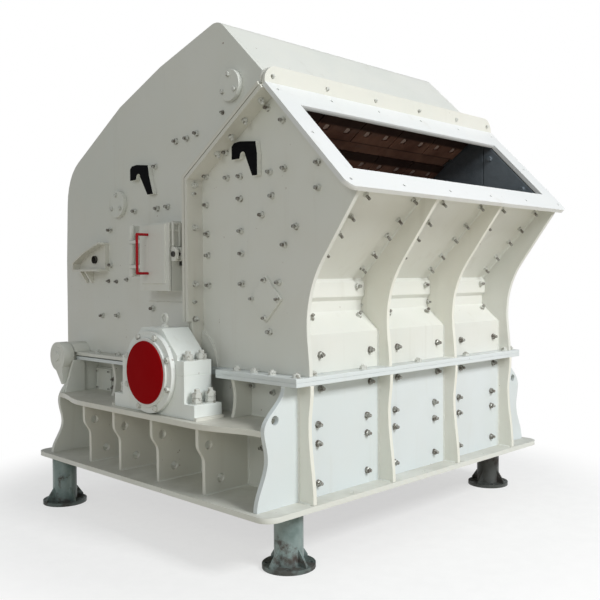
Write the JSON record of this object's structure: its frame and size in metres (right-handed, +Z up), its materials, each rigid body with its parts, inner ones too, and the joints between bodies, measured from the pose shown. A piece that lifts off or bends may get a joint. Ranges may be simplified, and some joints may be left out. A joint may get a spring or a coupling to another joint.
{
  "type": "horizontal-shaft hammer crusher (impact crusher)",
  "caption": "Welded steel horizontal-shaft crusher on legs, with sloped feed flange, hinged rear housing, inspection door, rotor in split bearing housings.",
  "frame": {"origin": "on the floor, under the middle of the base flange", "axes": "+X towards the feed opening, +Y along the rotor shaft towards the drive stub, +Z up"},
  "size_m": [2.7775, 2.8379, 2.9],
  "materials": {
    "cream_paint": "satin cream enamel, slightly greyed and dusty",
    "leg_paint": "old grey-green paint, worn and rusty at the foot",
    "liner_steel": "dark blue-grey wear plate",
    "black_paint": "black enamel",
    "curtain_iron": "brown primer and rust on cast wear parts",
    "red_paint": "red enamel",
    "bright_steel": "turned steel shaft"
  },
  "bodies": {
    "base": {"base_flange": "cream_paint", "base_front_wall": "cream_paint", "base_rear_wall": "cream_paint", "base_side_walls": "cream_paint", "base_front_ribs": "cream_paint", "bearing_shelves": "cream_paint", "side_ribs": "cream_paint", "base_joint_flange": "cream_paint", "front_legs": "leg_paint", "rear_legs": "leg_paint", "front_side_left": "cream_paint", "front_side_right": "cream_paint", "front_panel": "cream_paint", "front_ribs": "cream_paint", "front_joint_flange": "cream_paint", "feed_flange": "cream_paint", "front_split_flange": "cream_paint", "front_liners": "liner_steel", "front_hooks": "black_paint", "diamond_covers": "cream_paint", "bearing_bases": "cream_paint", "bearing_caps": "cream_paint", "bearing_cover_left": "cream_paint", "bearing_cover_right": "cream_paint", "hinge_lugs": "cream_paint"},
    "rear_housing": {"rear_side_left": "cream_paint", "rear_side_right": "cream_paint", "rear_wall": "cream_paint", "roof": "cream_paint", "rear_joint_flange": "cream_paint", "rear_split_flange": "cream_paint", "rear_liners": "liner_steel", "rear_hooks": "black_paint", "hinge_knuckles": "cream_paint", "upper_curtain": "curtain_iron", "lower_curtain": "curtain_iron", "pivot_covers": "cream_paint", "cylinder_brackets": "cream_paint", "door_frame": "cream_paint"},
    "inspection_door": {"door": "cream_paint", "door_handle": "red_paint"},
    "rotor": {"rotor_shaft": "bright_steel", "rotor_discs": "curtain_iron", "hammers": "curtain_iron"}
  },
  "joints": [
    {"name": "housing_hinge", "type": "hinge", "parent": "base", "child": "rear_housing", "pos_m": [-1.08, 0, 0.951], "axis": [0, -1, 0], "range_deg": [0, 45]},
    {"name": "door_hinge", "type": "hinge", "parent": "rear_housing", "child": "inspection_door", "pos_m": [-0.3, -1.07, 1.6], "axis": [0, 0, -1], "range_deg": [0, 110]},
    {"name": "rotor_spin", "type": "hinge", "parent": "base", "child": "rotor", "pos_m": [0.15, 0, 0.951], "axis": [0, 1, 0], "continuous": true}
  ]
}
